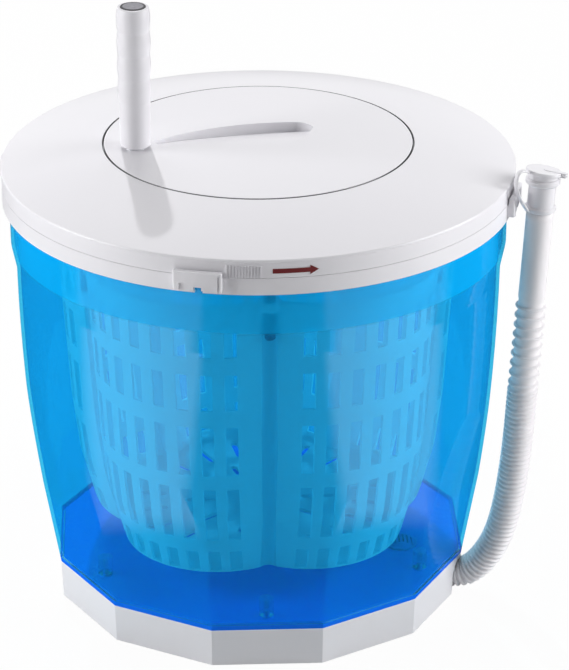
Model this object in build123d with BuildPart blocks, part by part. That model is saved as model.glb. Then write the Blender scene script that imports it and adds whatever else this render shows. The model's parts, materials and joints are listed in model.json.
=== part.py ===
from build123d import *
import os
from math import acos, cos, degrees, pi, radians, sin, tan

# Hand-cranked washing machine, in millimetres. The origin is on the tub's axis at the floor, +Z is up.
# An azimuth is measured from the front (-Y) towards the right (+X), seen from above.

# Fits and allowances
run_gap = 0.05          # a shaft in its bore, on the radius
slide_gap = 0.3         # faces that move past each other
lift_gap = 0.6          # parts of the lid that drop into the tub
cut_over = 1.0          # overrun of a cut

# Base
side_count = 12
base_height = 30.7
base_top_radius = 159.0
base_foot_radius = 157.8
base_wall = 3.0
shelf_width = 22.0
shelf_thickness = 2.4
foot_height = 2.4
foot_radius = 9.0
foot_stem_radius = 3.0
foot_ring_radius = 136.0
foot_count = 6
skirt_lift = 0.8        # the skirt hangs this far above the floor
arch_height = 15.2      # centre of the round top of the hose arch
plate_thickness = 1.8
screw_radius = 2.0
screw_head_radius = 3.8
screw_head_height = 2.0
screw_length = 38.0
screw_ring_radius = 138.0
boss_radius = 5.5
boss_height = 15.0

# Tub
tub_wall = 2.6
tub_floor = 3.0
tub_bottom_radius = 161.5
tub_mid_radius = 175.8
tub_mid_height = 150.0
tub_neck_radius = 181.0
tub_neck_height = 266.0
tub_band_radius = 184.8
tub_band_height = 285.0
tub_rim_height = 323.0
flat_slope_share = 0.166        # how fast the twelve flats lean out
lug_azimuth = -14.7
lug_count = 4
lug_reach = 7.7
lug_height = 3.1
lug_width = 4.6

# Pivot in the tub floor
pin_radius = 5.0
pin_top = 71.0
pin_boss_radius = 14.0
pin_boss_top = 45.5
washer_thickness = 1.5
washer_radius = 12.0
bush_wall = 2.0

# Basket
basket_azimuth = 1.3
lobe_count = 5
basket_bottom = 58.0
basket_wall = 2.4
basket_floor = 2.6
basket_heel_radius = 124.0
basket_edge_height = 66.0
basket_edge_radius = 130.5
basket_belly_height = 105.0
basket_belly_radius = 140.6
basket_waist_height = 150.0
basket_waist_radius = 146.0
basket_top = 288.5
basket_top_radius = 154.6
basket_rim = 3.2
basket_rim_thickness = 3.5
heel_bulge_share = 0.3
lobe_centre = 58.0
groove_radius = 6.0
groove_low_radius = 107.0
groove_mid_radius = 127.5
groove_top_radius = 136.2
hub_radius = 13.0
hub_foot = 47.5
hub_top = 78.0
column_count = 8
column_pitch = 7.0
slot_width = 9.0
slot_reach = 60.0
slot_rows = [(62.0, 80.0), (91.5, 136.5), (148.5, 189.0), (202.5, 232.0), (246.0, 270.0)]
floor_slot_width = 5.0
floor_slot_length = 26.0
floor_slot_rings = [(45.0, 10), (85.0, 20)]
key_hole_radius = 4.6
key_ring_radius = 136.5
key_shelf_thickness = 6.0
key_shelf_radius = 9.0

# Lid
lid_radius = 190.0
lid_wall = 2.4
skirt_bottom = 316.7
split_height = 329.4
lid_edge_height = 343.0
lid_edge_roll = 0.7
lid_crown = 1.6
deck_height = 358.0
deck_radius = 114.1
deck_gap = 1.1
deck_thickness = 3.0
cover_drop = 0.4
flange_thickness = 1.8
flange_width = 6.6
pan_thickness = 1.8
pan_edge_gap = 1.0
plug_wall = 2.2
plug_depth = 11.0
seal_width = 3.0
ledge_thickness = 2.0
ledge_width = 11.0
ledge_top = 350.2
slip_width = 8.4
pan_screw_count = 6
pan_screw_ring = 171.0
pan_screw_length = 12.0
pan_screw_azimuth = 25.0
thumb_rib_count = 12
thumb_rib_azimuth = -9.0
thumb_rib_pitch = 0.645
thumb_rib_width = 0.9
thumb_rib_proud = 1.0
thumb_rib_height = 9.2
arrow_azimuth = 0.9
arrow_span = 9.7
arrow_height = 334.7
arrow_shaft = 3.4
arrow_head_length = 6.0
arrow_head_width = 7.0
arrow_proud = 0.25

# Lock ring
housing_half_angle = 5.15
housing_reach = 5.5
housing_bottom = 320.0
housing_top = 334.0
housing_round = 1.4
housing_wall_angle = 0.5
housing_lip_gap = 1.3
lug_room = 0.4
notch_top = 322.4
pocket_depth = 1.3
pocket_half_angle = 3.8
pocket_top = 325.2
end_groove_angle = 4.45
end_groove_width = 1.2
edge_round = 0.6

# Gears
module = 2.0
pressure_angle = 20.0
sun_teeth = 18
planet_teeth = 27
ring_teeth = 72
planet_count = 3
planet_azimuth = 40.0
backlash = 0.36
gear_height = 10.0
gear_lift = 3.4
ring_back = 3.9
socket_wall = 2.6
socket_drop = 22.0
stud_radius = 4.0
stud_boss_radius = 8.0
stud_root = 7.0
stud_top_over = 3.0
clip_thickness = 1.0
clip_width = 3.0

# Output shaft and drive spider
shaft_radius = 6.0
shaft_bush_wall = 3.0
pan_hub_wall = 3.0
pan_hub_drop = 20.0
spider_top = 301.0
spider_arm_width = 11.0
spider_arm_thickness = 5.0
spider_hub_radius = 15.0
spider_hub_drop = 5.0
drive_pin_radius = 4.0
drive_pin_bottom = 258.5
end_screw_radius = 2.5
end_screw_length = 16.0
end_screw_head = 7.0
end_screw_head_height = 3.0

# Crank
crank_x = -90.5
crank_y = -10.6
post_radius = 5.0
post_flange_radius = 8.0
post_flange_height = 1.5
post_top = 455.0
crank_boss_radius = 9.0
crank_boss_drop = 8.0
nut_height = 5.0
nut_width = 13.0
crank_washer_radius = 8.5
crank_washer_thickness = 1.4
grip_bottom = 360.0
grip_top = 466.5
grip_base_radius = 10.9
grip_waist_radius = 11.6
grip_crest_radius = 12.4
grip_top_radius = 11.6
grip_wave = 18.0
grip_wave_count = 4
grip_well_radius = 8.0
grip_well_depth = 16.5
grip_cap_radius = 9.4
grip_cap_height = 3.6
grip_cap_over = 0.5
grip_cap_stem = 5.0
retainer_thickness = 1.5
hook_count = 6
hook_angle = 12.0
hook_wall = 2.0
hook_radius = 103.6
hook_barb = 2.4
hook_drop = 9.1
barb_height = 2.0

# Finger scoop in the turntable, as seen from above: far edge, tip, near edge
scoop_left = (-78.1, -0.6)
scoop_back = (-24.8, 28.1)
scoop_right = (30.3, 35.5)
scoop_tip = (38.3, 31.0)
scoop_end = (42.0, 24.2)
scoop_front = (-6.0, -24.0)
scoop_depth = 8.0
scoop_run = 46.0
scoop_heading = 8.5
scoop_wall = 2.2

# Drain
drain_radius = 112.0
hose_azimuth = 75.0
spout_radius = 12.0
spout_bore = 9.0
spout_drop = 8.7
cup_wall = 2.4
cup_depth = 9.0
gasket_thickness = 2.0
spigot_radius = 7.5
spigot_bore = 5.3
spigot_grip = 14.0
strainer_radius = 12.5
strainer_dome = 3.0
strainer_lip = 1.5
strainer_bars = 6

# Hose: its axis runs in the upright plane at the hose azimuth, as distance out and height
hose_route = [
    (131.0, 12.6),
    (158.5, 12.8),
    (171.0, 21.5),
    (180.0, 34.0),
    (186.5, 47.5),
    (191.0, 62.5),
    (194.2, 79.0),
    (196.8, 97.5),
    (199.0, 118.0),
    (200.8, 141.0),
    (202.2, 167.0),
    (203.9, 196.0),
    (205.9, 227.0),
    (207.4, 256.0),
    (209.1, 284.0),
    (211.2, 321.0),
]
hose_bend_share = 0.45
hose_bore = 7.8
hose_end_radius = 9.8
hose_valley_radius = 9.4
hose_crest_radius = 11.5
hose_plain_radius = 10.0
hose_cuff_length = 12.0
rib_pitch = 3.9
rib_count = 49
wide_rib_pitch = 7.9
wide_rib_count = 9
wide_rib_width = 3.2
rib_circle_shares = [0.14, 0.32, 0.68, 0.86]
clamp_start = 2.5
clamp_width = 7.0
clamp_thickness = 1.2
clamp_screw_radius = 3.0
clamp_screw_length = 10.0

# End fitting of the hose
collar_radius = 11.5
collar_height = 4.5
cuff_radius = 10.0
cuff_height = 21.7
cuff_bore = 6.2
cuff_grip = 10.0
cuff_flange_radius = 12.8
cuff_flange_height = 5.0
cap_radius = 13.2
cap_height = 2.6
cap_tilt = 8.0
cap_lean = 135.0
cap_lift = 3.1
cap_neck_radius = 11.6
cap_plug_depth = 7.0
cap_tab_length = 4.5
cap_tab_width = 5.0
cap_tab_thickness = 1.1
cap_tab_spacing = 2.3
strap_azimuth = -54.8
strap_width = 4.0
strap_thickness = 1.5
strap_reach = 24.0
strap_bend_shares = [(0.84, 0.40), (1.0, 0.80), (0.86, 1.08)]

ON_BASE = (Align.CENTER, Align.CENTER, Align.MIN)
FROM_TOP = (Align.CENTER, Align.CENTER, Align.MAX)


def spot(radius, azimuth, height=0.0):
    return (radius * sin(radians(azimuth)), -radius * cos(radians(azimuth)), height)


def start(azimuth):
    return azimuth - 90.0


def radial_plane(azimuth):
    # x runs out from the axis, y runs up
    outward = Vector(*spot(1.0, azimuth))
    return Plane(origin=(0, 0, 0), x_dir=outward, z_dir=outward.cross(Vector(0, 0, 1)))


def tangent_plane(azimuth):
    # x runs round to the right, y runs up, z runs out from the axis
    outward = Vector(*spot(1.0, azimuth))
    return Plane(origin=(0, 0, 0), x_dir=Vector(0, 0, 1).cross(outward), z_dir=outward)


def sector(inner, outer, centre_azimuth, half_angle, low, high):
    # A curved block between two radii, two azimuths and two heights
    with BuildPart() as block:
        with BuildSketch(Plane.XY.offset(low)):
            Circle(outer)
            Circle(inner, mode=Mode.SUBTRACT)
            with BuildLine():
                left = spot(2 * outer, centre_azimuth - half_angle)
                right = spot(2 * outer, centre_azimuth + half_angle)
                Polyline((0, 0), left, right, close=True)
            make_face(mode=Mode.INTERSECT)
        extrude(amount=high - low)
    return block.part


def save(piece, name):
    piece.part.label = name
    export_step(piece.part, f"parts/{name}.step")
    print(name, "solids", len(piece.part.solids()), "volume", round(piece.part.volume, 1))


os.makedirs("parts", exist_ok=True)

# Levels and radii that follow from the sizes above
polygon_turn = 180 / side_count
polygon_share = cos(pi / side_count)
tub_floor_top = base_height + tub_floor
flat_radius_at_floor = base_top_radius * polygon_share
flat_rise = (tub_rim_height - base_height) * flat_slope_share
tub_bore_radius = tub_band_radius - tub_wall
ring_top = split_height - slide_gap / 2
ring_flange_bottom = ring_top - flange_thickness
pan_top = ring_flange_bottom - slide_gap
pan_bottom = pan_top - pan_thickness
cover_bottom = split_height + slide_gap / 2
ring_inner = lid_radius - lid_wall
ring_flange_inner = lid_radius - flange_width
pan_edge_radius = ring_inner - pan_edge_gap
inner_wall_outer = ring_flange_inner - slide_gap
gear_bottom = pan_top + gear_lift
gear_top = gear_bottom + gear_height
deck_under = deck_height - deck_thickness
ledge_inner = deck_radius + deck_gap - ledge_width
bush_outer = pin_radius + run_gap + bush_wall
shaft_bush_outer = shaft_radius + run_gap + shaft_bush_wall
pan_hub_radius = shaft_bush_outer + pan_hub_wall
plug_radius = tub_bore_radius - lift_gap

# Base skirt: a twelve-sided ring with a shelf that carries the tub
plate_bottom = foot_height
plate_top = plate_bottom + plate_thickness
shelf_bottom = base_height - shelf_thickness
notch_radius = hose_crest_radius + lift_gap


def base_ring(inset, low, high, radius_low, radius_high):
    with BuildPart() as ring:
        with BuildSketch(Plane.XY.offset(low)):
            RegularPolygon(radius_low - inset / polygon_share, side_count, rotation=polygon_turn)
        with BuildSketch(Plane.XY.offset(high)):
            RegularPolygon(radius_high - inset / polygon_share, side_count, rotation=polygon_turn)
        loft()
    return ring.part


with BuildPart() as base_skirt:
    add(base_ring(0.0, skirt_lift, base_height, base_foot_radius, base_top_radius))
    chamfer(base_skirt.faces().sort_by(Axis.Z)[-1].edges(), edge_round)
    hollow_low = skirt_lift - cut_over
    add(base_ring(base_wall, hollow_low, shelf_bottom, base_foot_radius, base_top_radius), mode=Mode.SUBTRACT)
    with Locations((0, 0, shelf_bottom - cut_over)):
        Cylinder(base_top_radius * polygon_share - base_wall - shelf_width, shelf_thickness + 2 * cut_over,
                 align=ON_BASE, mode=Mode.SUBTRACT)
    with Locations((0, 0, shelf_bottom)):
        with PolarLocations(screw_ring_radius, foot_count, start_angle=start(0)):
            Cylinder(boss_radius, shelf_bottom - plate_top, align=FROM_TOP)
            Cylinder(screw_radius + run_gap, shelf_bottom, align=FROM_TOP, mode=Mode.SUBTRACT)
            Cylinder(screw_radius + run_gap, base_height, align=ON_BASE, mode=Mode.SUBTRACT)
    # The arch that the hose leaves through
    with BuildSketch(tangent_plane(hose_azimuth).offset(base_foot_radius - base_wall * 4)):
        with Locations((0, arch_height)):
            Circle(notch_radius)
            Rectangle(2 * notch_radius, base_height, align=(Align.CENTER, Align.MAX))
    extrude(amount=base_wall * 8, mode=Mode.SUBTRACT)
save(base_skirt, "base_skirt")

with BuildPart() as base_plate:
    add(base_ring(base_wall + lift_gap, plate_bottom, plate_top, base_foot_radius, base_foot_radius))
    with Locations((0, 0, plate_bottom)):
        with PolarLocations(screw_ring_radius, foot_count, start_angle=start(0)):
            Cylinder(screw_radius + run_gap, plate_thickness, align=ON_BASE, mode=Mode.SUBTRACT)
        with PolarLocations(foot_ring_radius, foot_count, start_angle=start(180 / foot_count)):
            Cylinder(foot_stem_radius, plate_thickness, align=ON_BASE, mode=Mode.SUBTRACT)
    # The bay for the hose end and its clamp
    bay_start = hose_route[0][0] - clamp_width
    with BuildSketch(Plane.XY.offset(plate_bottom)):
        with PolarLocations(bay_start, 1, start_angle=start(hose_azimuth)):
            Rectangle(base_top_radius, 2 * notch_radius + clamp_width, align=(Align.MIN, Align.CENTER))
    extrude(amount=plate_thickness, mode=Mode.SUBTRACT)
save(base_plate, "base_plate")

with BuildPart() as rubber_feet:
    with PolarLocations(foot_ring_radius, foot_count, start_angle=start(180 / foot_count)):
        Cylinder(foot_radius, foot_height, align=ON_BASE)
        Cylinder(foot_stem_radius, plate_top, align=ON_BASE)
    with Locations((0, 0, plate_top)):
        with PolarLocations(foot_ring_radius, foot_count, start_angle=start(180 / foot_count)):
            Cylinder(foot_stem_radius + slide_gap, foot_stem_radius / 2, align=ON_BASE)
save(rubber_feet, "rubber_feet")

with BuildPart() as base_screws:
    head_bottom = plate_bottom - screw_head_height
    with Locations((0, 0, head_bottom)):
        with PolarLocations(screw_ring_radius, foot_count, start_angle=start(0)):
            Cylinder(screw_head_radius, screw_head_height, align=ON_BASE)
            Cylinder(screw_radius, screw_length, align=ON_BASE)
            Box(screw_head_radius, screw_radius / 2, screw_head_height / 2, align=ON_BASE, mode=Mode.SUBTRACT)
save(base_screws, "base_screws")


# Tub: round above, twelve flats fading in below
def tub_form(inset, low, high):
    with BuildPart() as form:
        with BuildSketch(Plane.XZ):
            with BuildLine():
                Line((0, base_height), (tub_bottom_radius - inset, base_height))
                ThreePointArc((tub_bottom_radius - inset, base_height),
                              (tub_mid_radius - inset, tub_mid_height),
                              (tub_neck_radius - inset, tub_neck_height))
                Polyline((tub_neck_radius - inset, tub_neck_height),
                         (tub_band_radius - inset, tub_band_height),
                         (tub_band_radius - inset, tub_rim_height),
                         (0, tub_rim_height),
                         (0, base_height))
            make_face()
        revolve(axis=Axis.Z)
        with BuildSketch(Plane.XY.offset(base_height)):
            RegularPolygon(flat_radius_at_floor - inset, side_count, major_radius=False, rotation=polygon_turn)
        with BuildSketch(Plane.XY.offset(tub_rim_height)):
            RegularPolygon(flat_radius_at_floor - inset + flat_rise, side_count, major_radius=False,
                           rotation=polygon_turn)
        loft(mode=Mode.INTERSECT)
        with Locations((0, 0, low)):
            Cylinder(2 * tub_band_radius, high - low, align=ON_BASE, mode=Mode.INTERSECT)
    return form.part


lug_top = tub_rim_height
with BuildPart() as tub:
    add(tub_form(0.0, base_height, tub_rim_height))
    add(tub_form(tub_wall, tub_floor_top, tub_rim_height), mode=Mode.SUBTRACT)
    # Screw bosses and the pivot boss stand on the floor
    with Locations((0, 0, base_height)):
        with PolarLocations(screw_ring_radius, foot_count, start_angle=start(0)):
            Cylinder(boss_radius, tub_floor + boss_height, align=ON_BASE)
            Cylinder(screw_radius + run_gap, tub_floor + boss_height - base_wall, align=ON_BASE,
                     mode=Mode.SUBTRACT)
    with Locations((0, 0, base_height)):
        Cylinder(pin_boss_radius, pin_boss_top - base_height, align=ON_BASE)
    with Locations((0, 0, base_height + tub_floor / 2)):
        Cylinder(pin_radius, pin_boss_top, align=ON_BASE, mode=Mode.SUBTRACT)
    # Drain spout under the floor
    with Locations(spot(drain_radius, hose_azimuth, base_height - spout_drop)):
        Cylinder(spout_radius, spout_drop + tub_floor, align=ON_BASE)
        Cylinder(spout_bore, spout_drop + tub_floor + cut_over, align=ON_BASE, mode=Mode.SUBTRACT)
    # The four lugs that the lock ring grips
    with Locations((0, 0, lug_top)):
        with PolarLocations(tub_band_radius - tub_wall / 2, lug_count, start_angle=start(lug_azimuth)):
            Box(lug_reach + tub_wall / 2, lug_width, lug_height, align=(Align.MIN, Align.CENTER, Align.MAX))
save(tub, "tub")

with BuildPart() as pivot_pin:
    with Locations((0, 0, base_height + tub_floor / 2)):
        Cylinder(pin_radius, pin_top - base_height - tub_floor / 2, align=ON_BASE)
    chamfer(pivot_pin.faces().sort_by(Axis.Z)[-1].edges(), edge_round)
save(pivot_pin, "pivot_pin")

with BuildPart() as thrust_washer:
    with Locations((0, 0, pin_boss_top)):
        Cylinder(washer_radius, washer_thickness, align=ON_BASE)
        Cylinder(pin_radius + run_gap, washer_thickness, align=ON_BASE, mode=Mode.SUBTRACT)
save(thrust_washer, "thrust_washer")

with BuildPart() as drain_gasket:
    with Locations(spot(drain_radius, hose_azimuth, base_height - spout_drop)):
        Cylinder(spout_radius, gasket_thickness, align=FROM_TOP)
        Cylinder(spout_bore, gasket_thickness, align=FROM_TOP, mode=Mode.SUBTRACT)
save(drain_gasket, "drain_gasket")

# Drain elbow: a cup under the tub's spout, then a spigot out to the hose
cup_floor_top = base_height - spout_drop - gasket_thickness
elbow_height = hose_route[0][1]
cup_radius = spout_radius + slide_gap + cup_wall
spigot_length = hose_route[0][0] + spigot_grip - drain_radius
with BuildPart() as drain_elbow:
    with Locations(spot(drain_radius, hose_azimuth, cup_floor_top)):
        Cylinder(cup_radius, cup_depth, align=ON_BASE)
        Cylinder(cup_radius, spigot_radius - spigot_bore, align=FROM_TOP)
    with Locations(spot(drain_radius, hose_azimuth, elbow_height)):
        Sphere(spigot_radius)
        Cylinder(spigot_radius, cup_floor_top - elbow_height, align=ON_BASE)
    with BuildSketch(tangent_plane(hose_azimuth).offset(drain_radius)):
        with Locations((0, elbow_height)):
            Circle(spigot_radius)
    extrude(amount=spigot_length)
    with Locations(spot(drain_radius, hose_azimuth, cup_floor_top)):
        Cylinder(spout_radius + slide_gap, cup_depth, align=ON_BASE, mode=Mode.SUBTRACT)
    with Locations(spot(drain_radius, hose_azimuth, elbow_height)):
        Sphere(spigot_bore, mode=Mode.SUBTRACT)
        Cylinder(spigot_bore, cup_floor_top - elbow_height + cut_over, align=ON_BASE, mode=Mode.SUBTRACT)
    with BuildSketch(tangent_plane(hose_azimuth).offset(drain_radius)):
        with Locations((0, elbow_height)):
            Circle(spigot_bore)
    extrude(amount=spigot_length, mode=Mode.SUBTRACT)
save(drain_elbow, "drain_elbow")

with BuildPart() as drain_strainer:
    with Locations(spot(drain_radius, hose_azimuth, tub_floor_top)):
        Cylinder(strainer_radius, strainer_lip, align=ON_BASE)
        Cone(strainer_radius, strainer_radius / 2, strainer_lip + strainer_dome, align=ON_BASE)
        Cylinder(spout_bore - slide_gap, tub_floor, align=FROM_TOP)
        Cylinder(spout_bore - slide_gap - lid_wall / 2, tub_floor + strainer_lip, align=FROM_TOP,
                 mode=Mode.SUBTRACT)
        Cylinder(spout_bore - slide_gap - lid_wall / 2, strainer_lip, align=ON_BASE, mode=Mode.SUBTRACT)
        for bar in range(strainer_bars):
            with Locations(((bar - (strainer_bars - 1) / 2) * strainer_radius / strainer_bars * 1.5, 0)):
                Box(strainer_radius / strainer_bars * 0.7, strainer_radius, 2 * strainer_dome + strainer_lip,
                    align=ON_BASE, mode=Mode.SUBTRACT)
save(drain_strainer, "drain_strainer")


# Basket: five round lobes that run into each other, with a flute between each pair
groove_low = basket_bottom - 2 * groove_radius
flute_start = start(basket_azimuth)
lobe_start = start(basket_azimuth + 180 / lobe_count)


def lobe_form(inset, low):
    heel = basket_heel_radius - lobe_centre - inset
    edge = basket_edge_radius - lobe_centre - inset
    belly = basket_belly_radius - lobe_centre - inset
    waist = basket_waist_radius - lobe_centre - inset
    top = basket_top_radius - lobe_centre - inset
    bulge_radius = edge - heel_bulge_share * (edge - heel)
    bulge_height = low + heel_bulge_share * (basket_edge_height - low)
    with BuildPart() as form:
        with BuildSketch(Plane.XZ):
            with BuildLine():
                Polyline((0, low), (heel, low), (bulge_radius, bulge_height), (edge, basket_edge_height),
                         (belly, basket_belly_height), (waist, basket_waist_height), (top, basket_top),
                         (0, basket_top), (0, low))
            make_face()
        revolve(axis=Axis.Z)
    return form.part


def flute_form(radius):
    # A round bar that follows the valley between two lobes
    with BuildPart() as form:
        with BuildLine() as valley:
            ThreePointArc((groove_low_radius, 0, groove_low), (groove_mid_radius, 0, basket_waist_height),
                          (groove_top_radius, 0, basket_top + cut_over))
        with BuildSketch(Plane(origin=valley.line @ 0, x_dir=(0, 1, 0), z_dir=valley.line % 0)):
            Circle(radius)
        sweep(path=valley.line)
    return form.part


lobe_outside = lobe_form(0.0, basket_bottom)
lobe_inside = lobe_form(basket_wall, basket_bottom + basket_floor)
groove_bar = flute_form(groove_radius)
ridge_bar = flute_form(groove_radius + basket_wall)

with BuildPart() as basket_hollow:
    with PolarLocations(lobe_centre, lobe_count, start_angle=lobe_start):
        add(lobe_inside)
    with PolarLocations(0, lobe_count, start_angle=flute_start):
        add(ridge_bar, mode=Mode.SUBTRACT)

with BuildPart() as slot_cutters:
    for lobe in range(lobe_count):
        for column in range(column_count):
            offset_angle = (column - (column_count - 1) / 2) * column_pitch
            azimuth = basket_azimuth + (2 * lobe + 1) * 180 / lobe_count + offset_angle
            with BuildSketch(tangent_plane(azimuth).offset(groove_low_radius)):
                for low, high in slot_rows:
                    with Locations((0, (low + high) / 2)):
                        Rectangle(slot_width, high - low)
    extrude(amount=slot_reach)

with BuildPart() as basket:
    with PolarLocations(lobe_centre, lobe_count, start_angle=lobe_start):
        add(lobe_outside)
    with PolarLocations(0, lobe_count, start_angle=flute_start):
        add(groove_bar, mode=Mode.SUBTRACT)
    with Locations((0, 0, basket_top)):
        with PolarLocations(lobe_centre, lobe_count, start_angle=lobe_start):
            Cylinder(basket_top_radius - lobe_centre + basket_rim, basket_rim_thickness, align=FROM_TOP)
        # Shelf across the top of each flute, for the drive pins
        with PolarLocations(key_ring_radius, lobe_count, start_angle=flute_start):
            Cylinder(key_shelf_radius, key_shelf_thickness, align=FROM_TOP)
    add(basket_hollow.part, mode=Mode.SUBTRACT)
    with Locations((0, 0, hub_foot)):
        Cylinder(hub_radius, hub_top - hub_foot, align=ON_BASE)
        Cylinder(bush_outer, pin_top - hub_foot + lift_gap, align=ON_BASE, mode=Mode.SUBTRACT)
    with Locations((0, 0, basket_top)):
        with PolarLocations(key_ring_radius, lobe_count, start_angle=start(basket_azimuth)):
            Cylinder(key_hole_radius, key_shelf_thickness, align=FROM_TOP, mode=Mode.SUBTRACT)
    for ring_radius, slot_count in floor_slot_rings:
        with BuildSketch(Plane.XY.offset(basket_bottom)):
            with PolarLocations(ring_radius, slot_count, start_angle=start(basket_azimuth + 180 / slot_count)):
                SlotOverall(floor_slot_length, floor_slot_width)
        extrude(amount=basket_floor, mode=Mode.SUBTRACT)
    add(slot_cutters.part, mode=Mode.SUBTRACT)
save(basket, "basket")

with BuildPart() as basket_bush:
    with Locations((0, 0, hub_foot)):
        Cylinder(bush_outer, pin_top - hub_foot, align=ON_BASE)
        Cylinder(pin_radius + run_gap, pin_top - hub_foot, align=ON_BASE, mode=Mode.SUBTRACT)
save(basket_bush, "basket_bush")


# Lid cover: the crowned white annulus round the turntable
def cover_height(radius):
    edge = lid_radius + lid_edge_roll
    share = (edge - radius) / (edge - deck_radius - deck_gap)
    rise = deck_height - cover_drop - lid_edge_height
    return lid_edge_height + rise * share + 4 * lid_crown * share * (1 - share)


deck_hole = deck_radius + deck_gap
roll_radius = lid_radius + lid_edge_roll
crown_radius = (deck_hole + lid_radius) / 2
deck_wall_outer = deck_hole + lid_wall
inner_wall_inner = inner_wall_outer - lid_wall
with BuildPart() as lid_cover:
    with BuildSketch(Plane.XZ) as cover_profile:
        with BuildLine():
            Polyline((lid_radius, cover_bottom), (lid_radius, lid_edge_height - 3 * lid_edge_roll),
                     (roll_radius, lid_edge_height - 2 * lid_edge_roll))
            ThreePointArc((roll_radius, lid_edge_height - 2 * lid_edge_roll),
                          (roll_radius - lid_edge_roll * 0.2, lid_edge_height - lid_edge_roll),
                          (lid_radius, cover_height(lid_radius)))
            ThreePointArc((lid_radius, cover_height(lid_radius)), (crown_radius, cover_height(crown_radius)),
                          (deck_hole, cover_height(deck_hole)))
            Polyline((deck_hole, cover_height(deck_hole)), (deck_hole, ledge_top), (ledge_inner, ledge_top),
                     (ledge_inner, ledge_top - ledge_thickness), (deck_wall_outer, ledge_top - ledge_thickness),
                     (deck_wall_outer, cover_height(deck_wall_outer) - lid_wall),
                     (crown_radius, cover_height(crown_radius) - lid_wall),
                     (inner_wall_inner, cover_height(inner_wall_inner) - lid_wall),
                     (inner_wall_inner, pan_top), (inner_wall_outer, pan_top),
                     (inner_wall_outer, cover_height(inner_wall_outer) - lid_wall),
                     (ring_inner, cover_height(ring_inner) - lid_wall), (ring_inner, cover_bottom),
                     (lid_radius, cover_bottom))
        make_face()
    revolve(axis=Axis.Z)
    # Screw posts
    with Locations((0, 0, pan_top)):
        with PolarLocations(pan_screw_ring, pan_screw_count, start_angle=start(pan_screw_azimuth)):
            Cylinder(boss_radius, cover_height(pan_screw_ring) - lid_wall / 2 - pan_top, align=ON_BASE)
            Cylinder(screw_radius, pan_screw_length, align=ON_BASE, mode=Mode.SUBTRACT)
    # Thumb ribs beside the front housing
    for rib in range(thumb_rib_count):
        with BuildSketch(tangent_plane(thumb_rib_azimuth + (rib + 0.5) * thumb_rib_pitch).offset(ring_inner)):
            with Locations((0, cover_bottom)):
                Rectangle(thumb_rib_width, thumb_rib_height, align=(Align.CENTER, Align.MIN))
        extrude(amount=lid_wall + thumb_rib_proud)
save(lid_cover, "lid_cover")

# Arrow: a thin red mark that shows which way the lock ring turns
with BuildPart() as arrow_mark:
    arrow_middle = arrow_azimuth + arrow_span / 2
    arrow_half = lid_radius * radians(arrow_span) / 2
    neck = arrow_half - arrow_head_length
    with BuildSketch(tangent_plane(arrow_middle).offset(ring_inner)):
        with BuildLine():
            Polyline((-arrow_half, arrow_height - arrow_shaft / 2), (neck, arrow_height - arrow_shaft / 2),
                     (neck, arrow_height - arrow_head_width / 2), (arrow_half, arrow_height),
                     (neck, arrow_height + arrow_head_width / 2), (neck, arrow_height + arrow_shaft / 2),
                     (-arrow_half, arrow_height + arrow_shaft / 2), close=True)
        make_face()
    extrude(amount=lid_wall * 2)
    add(sector(lid_radius, lid_radius + arrow_proud, arrow_middle, arrow_span, cover_bottom, lid_edge_height),
        mode=Mode.INTERSECT)
save(arrow_mark, "arrow_mark")

# Lid pan: closes the gear space from below and plugs into the tub
with BuildPart() as lid_pan:
    with Locations((0, 0, pan_bottom)):
        Cylinder(pan_edge_radius, pan_thickness, align=ON_BASE)
        Cylinder(plug_radius, plug_depth, align=FROM_TOP)
        Cylinder(plug_radius - plug_wall, plug_depth, align=FROM_TOP, mode=Mode.SUBTRACT)
        Cylinder(pan_hub_radius, pan_hub_drop, align=FROM_TOP)
    with Locations((0, 0, pan_bottom - pan_hub_drop)):
        Cylinder(shaft_bush_outer, pan_hub_drop + pan_thickness, align=ON_BASE, mode=Mode.SUBTRACT)
    with Locations((0, 0, pan_bottom)):
        with PolarLocations(pan_screw_ring, pan_screw_count, start_angle=start(pan_screw_azimuth)):
            Cylinder(screw_radius + run_gap, pan_thickness, align=ON_BASE, mode=Mode.SUBTRACT)
    planet_ring_radius = module * (sun_teeth + planet_teeth) / 2
    with Locations((0, 0, gear_bottom - slide_gap)):
        with PolarLocations(planet_ring_radius, planet_count, start_angle=start(planet_azimuth)):
            Cylinder(stud_boss_radius, gear_lift - slide_gap + stud_root, align=FROM_TOP)
            Cylinder(stud_radius, gear_lift - slide_gap + stud_root, align=FROM_TOP, mode=Mode.SUBTRACT)
    # Stiffening ribs under the pan
    with BuildSketch(Plane.XY.offset(pan_bottom)):
        rib_start = pan_hub_radius - pan_hub_wall / 2
        with PolarLocations(rib_start, pan_screw_count, start_angle=start(pan_screw_azimuth)):
            Rectangle(plug_radius - plug_wall / 2 - rib_start, pan_thickness, align=(Align.MIN, Align.CENTER))
        with PolarLocations(pan_screw_ring, pan_screw_count, start_angle=start(pan_screw_azimuth)):
            Circle(screw_head_radius + slide_gap, mode=Mode.SUBTRACT)
    extrude(amount=-plug_depth / 2)
save(lid_pan, "lid_pan")

with BuildPart() as pan_screws:
    with Locations((0, 0, pan_bottom)):
        with PolarLocations(pan_screw_ring, pan_screw_count, start_angle=start(pan_screw_azimuth)):
            Cylinder(screw_head_radius, screw_head_height, align=FROM_TOP)
            Cylinder(screw_radius, pan_screw_length, align=ON_BASE)
save(pan_screws, "pan_screws")

with BuildPart() as rim_seal:
    with Locations((0, 0, tub_rim_height + slide_gap)):
        Cylinder(tub_bore_radius + seal_width, pan_bottom - tub_rim_height - slide_gap, align=ON_BASE)
        Cylinder(tub_bore_radius - slide_gap, pan_bottom - tub_rim_height, align=ON_BASE, mode=Mode.SUBTRACT)
save(rim_seal, "rim_seal")

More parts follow.
